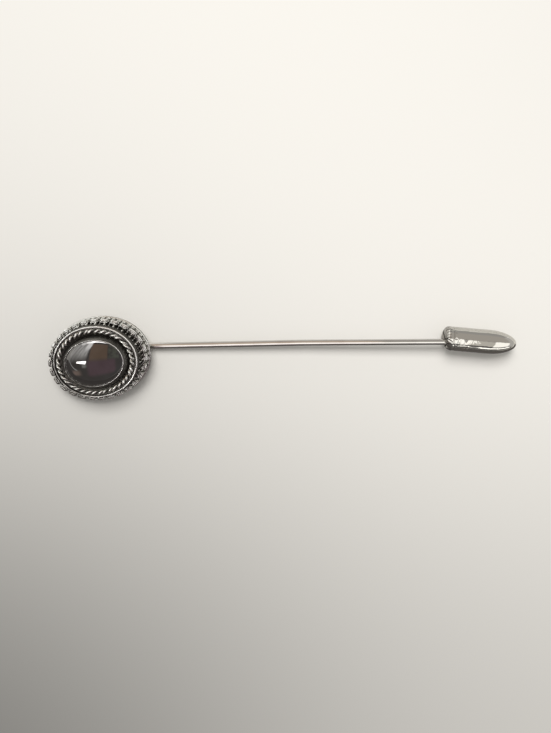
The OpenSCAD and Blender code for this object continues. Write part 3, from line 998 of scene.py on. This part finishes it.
def solder_sockets(nodes):
    """Silver solder: dull and grainy, greyer than the plated wire."""
    grain = nodes.noise(nodes.place(), 5000, 3)
    bumped = nodes.bump(grain, 0.4, 0.00004)
    return {"Base Color": (0.46, 0.45, 0.43, 1), "Metallic": 1, "Roughness": 0.42, "Normal": bumped}


dress(solder, finish("solder", solder_sockets), "pin", "pin_stem", "bright_wire")

# Clutch: a drawn nickel-plated bullet, hollow, whose mouth is slit, rolled over and crimped behind its rim.
# It has been pressed and bumped, so soft dents break up what its barrel mirrors.
CLUTCH_RADIUS = 1.95
CLUTCH_LENGTH = 11.75
NOSE_LENGTH = 4.6
CLUTCH_WALL = 0.35
HOLE_ASIDE = 0.65
HOLE_RADIUS = 0.55
askew = math.radians(5.4)
clutch_way = np.array([math.cos(askew), -math.sin(askew), 0])
clutch_left = np.array([math.sin(askew), math.cos(askew), 0])
clutch_up = np.array([0, 0, 1.0])
clutch_mouth = np.array([mouth_place[0], mouth_place[1] + HOLE_ASIDE, CLUTCH_RADIUS])
barrel_end = CLUTCH_LENGTH - NOSE_LENGTH
nose_reach = NOSE_LENGTH - 0.01
NOSE_ROWS = 40
BARREL_ROWS = 79
MOUTH_ROWS = 60
CAVITY_ROWS = 6
nose_turn = np.radians(np.linspace(88.5, 0, NOSE_ROWS))
cavity_radius = CLUTCH_RADIUS - CLUTCH_WALL
cavity_nose = NOSE_LENGTH - CLUTCH_WALL - 0.1
cavity_turn = np.radians(np.linspace(0, 86, 14))

# Columns: radius, place along the axis, share of the way from the barrel's middle to the hole's
mouth_rows = np.array([
    [CLUTCH_RADIUS, 0.62, 0],
    [CLUTCH_RADIUS * 0.985, 0.45, 0],
    [CLUTCH_RADIUS * 0.95, 0.30, 0.03],
    [CLUTCH_RADIUS * 0.90, 0.15, 0.08],
    [CLUTCH_RADIUS * 0.83, 0.05, 0.16],
    [CLUTCH_RADIUS * 0.76, 0.01, 0.26],
    [CLUTCH_RADIUS * 0.68, 0.04, 0.42],
    [CLUTCH_RADIUS * 0.56, 0.12, 0.62],
    [CLUTCH_RADIUS * 0.42, 0.20, 0.84],
    [HOLE_RADIUS + 0.08, 0.24, 0.95],
    [HOLE_RADIUS + 0.01, 0.30, 1],
    [HOLE_RADIUS, 0.38, 1],
    [HOLE_RADIUS, 0.66, 1],
    [HOLE_RADIUS + 0.04, 0.70, 1],
])
mouth_keys = np.arange(len(mouth_rows))
mouth_fine = np.linspace(0, mouth_keys[-1], MOUTH_ROWS)
mouth_rows = np.stack([np.interp(mouth_fine, mouth_keys, column) for column in mouth_rows.T], axis=1)
# Rounds the lip's corners
for _ in range(4):
    mouth_rows[1:-1] = (mouth_rows[:-2] + 2 * mouth_rows[1:-1] + mouth_rows[2:]) / 4


def shell_rows(row_radius, row_along):
    """Rows of the shell round the barrel's middle, in the columns of mouth_rows."""
    return np.stack(np.broadcast_arrays(row_radius, row_along, 0.0), axis=1)


clutch_rows = np.concatenate([
    shell_rows(CLUTCH_RADIUS * np.cos(nose_turn), barrel_end + nose_reach * np.sin(nose_turn)),
    shell_rows(CLUTCH_RADIUS, np.linspace(barrel_end, 0.64, BARREL_ROWS + 1)[1:]),
    mouth_rows,
    [[cavity_radius * 0.8, 0.72, 0.15], [cavity_radius - 0.05, 0.72, 0], [cavity_radius, 0.8, 0]],
    shell_rows(cavity_radius, np.linspace(1.6, barrel_end - 0.6, CAVITY_ROWS)),
    shell_rows(cavity_radius * np.cos(cavity_turn), barrel_end + cavity_nose * np.sin(cavity_turn)),
])
clutch_side = np.linspace(0, 2 * np.pi, 288, endpoint=False)
radius = clutch_rows[:, :1]
along = clutch_rows[:, 1:2] + 0 * clutch_side
shift = -HOLE_ASIDE * clutch_rows[:, 2:3]
# Rows counted from the outer edge of the mouth, below zero on the barrel and the nose
mouth_row = np.arange(len(clutch_rows))[:, None] - NOSE_ROWS - BARREL_ROWS
outside = mouth_row < 0
in_mouth = (mouth_row >= 0) & (mouth_row < MOUTH_ROWS)

# Columns: place along the axis, angle from the top towards the near side, half length, half width, depth
dents = np.array([
    [2.2, 10, 0.3, 24, 0.020],
    [4.55, 14, 0.9, 20, 0.010],
    [3.1, 44, 0.8, 10, 0.03],
    [6.2, 30, 0.9, 14, 0.008],
    [1.9, 60, 0.6, 16, 0.03],
    [5.0, -70, 1.4, 30, 0.02],
    [8.3, 10, 0.5, 22, 0.012],
])
from_top = np.degrees(clutch_side)[None, :] - 90
near_angle = (from_top + 180) % 360 - 180
dent = 0 * along
for dent_along, dent_angle, dent_length, dent_width, dent_depth in dents:
    reach = ((along - dent_along) / dent_length) ** 2 + ((near_angle - dent_angle) / dent_width) ** 2
    dent = dent + dent_depth * np.exp(-reach)
CRIMP_AT = 1.13
CRIMP_DEPTH = 0.035
crimp = CRIMP_DEPTH * np.exp(-((along - CRIMP_AT) / 0.11) ** 2)
DIMPLES = 12
DIMPLES_AT = 1.45
dimple_aside = np.sin(DIMPLES / 2 * clutch_side[None, :]) * 2 / 0.9
dimple = 0.05 * np.exp(-((along - DIMPLES_AT) / 0.17) ** 2 - dimple_aside ** 2)
sunk = np.where(outside, dent + crimp + dimple, 0)
SLITS = 6
SLIT_TURN = 30
SLIT_END_ROWS = (44, 52)
slit_at = clutch_side[None, :] - math.radians(SLIT_TURN) - 0.35 * along
slit_wave = np.abs(np.sin(SLITS / 2 * slit_at)) * radius * 2 / SLITS
slit_length = np.where(outside | in_mouth, np.interp(along, [0.75, 0.95], [1, 0]), 0)
slit_length = slit_length * np.interp(mouth_row, SLIT_END_ROWS, [1, 0])
slit = np.exp(-(slit_wave / 0.085) ** 2) * slit_length
lip_bump = np.where(in_mouth, 0.007 * np.sin(9 * clutch_side + 1)[None, :] * slit_length, 0)
clutch_r = radius - sunk - 0.07 * np.where(outside, slit, 0)
clutch_y = shift + clutch_r * np.cos(clutch_side)
# The mouth leans back on its near side
lean = 0.75 * (np.clip(-clutch_y, 0, 2) / CLUTCH_RADIUS) ** 1.5 * np.clip(1 - along / 2.4, 0, 1)
clutch_x = along + 0.16 * np.where(in_mouth, slit, 0) + lip_bump + lean
clutch_z = clutch_r * np.sin(clutch_side)
clutch_grid = (
    clutch_mouth
    + clutch_x[..., None] * clutch_way
    + clutch_y[..., None] * clutch_left
    + clutch_z[..., None] * clutch_up
)
clutch = surface(
    "bullet_clutch",
    clutch_grid,
    first=clutch_mouth + (barrel_end + nose_reach) * clutch_way,
    last=clutch_mouth + (barrel_end + cavity_nose) * clutch_way,
)
# Painted shade: the slits, the creases of the mouth's leaves, the dimples, the crimp groove and the inside of
# the hole are coloured towards near black, the mouth darker towards its hole and less so on its near side.
crease = in_mouth * np.clip(np.sin(17 * clutch_side + 2 * np.sin(5 * clutch_side)), 0, 1)[None, :] ** 3
HOLE_ROW = 46
mouth_painted_shade = np.interp(mouth_row, [0, 5, 22, HOLE_ROW], [0, 0.15, 0.32, 0.6]) * in_mouth
mouth_painted_shade = mouth_painted_shade * (1 - 0.7 * np.clip(-np.cos(clutch_side), 0, 1))
painted_shade = slit + mouth_painted_shade + 0.6 * crease * slit_length
painted_shade = painted_shade + 9 * np.clip(dimple - 0.02, 0, 1) + 0.25 * crimp / CRIMP_DEPTH
painted_shade = np.clip(painted_shade + (mouth_row >= HOLE_ROW), 0, 1)
paint(clutch, "painted_shade", np.concatenate([painted_shade.ravel(), [0, 1]]))


def nickel_sockets(nodes):
    """Bright nickel plate: soft hammering and hair scratches break its mirror, and painted shade darkens its
    slits, creases, dimples, crimp groove and the inside of its hole.
    """
    place = nodes.place()
    painted_shade_here = nodes.attribute("painted_shade")
    peel = nodes.noise(place, 900, 2) + nodes.noise(place, 3600, 3) * 0.22
    hair = nodes.noise(nodes.add("Mapping", {}, {"Vector": place, "Scale": (300, 7000, 7000)}), 1, 2)
    scuffed = nodes.noise(place, 500, 4)
    rough = 0.04 + 0.09 * scuffed.rise(0.5, 0.75) + 0.3 * painted_shade_here
    colour = nodes.blend(painted_shade_here, (0.62, 0.605, 0.565, 1), (0.035, 0.03, 0.025, 1))
    bumped = nodes.bump(peel + hair * 0.15, 0.26, 0.00006)
    return {"Base Color": colour, "Metallic": 1, "Roughness": rough, "Normal": bumped}


dress(clutch, finish("bright_nickel", nickel_sockets), "clutch", "clutch", "bright_nickel")
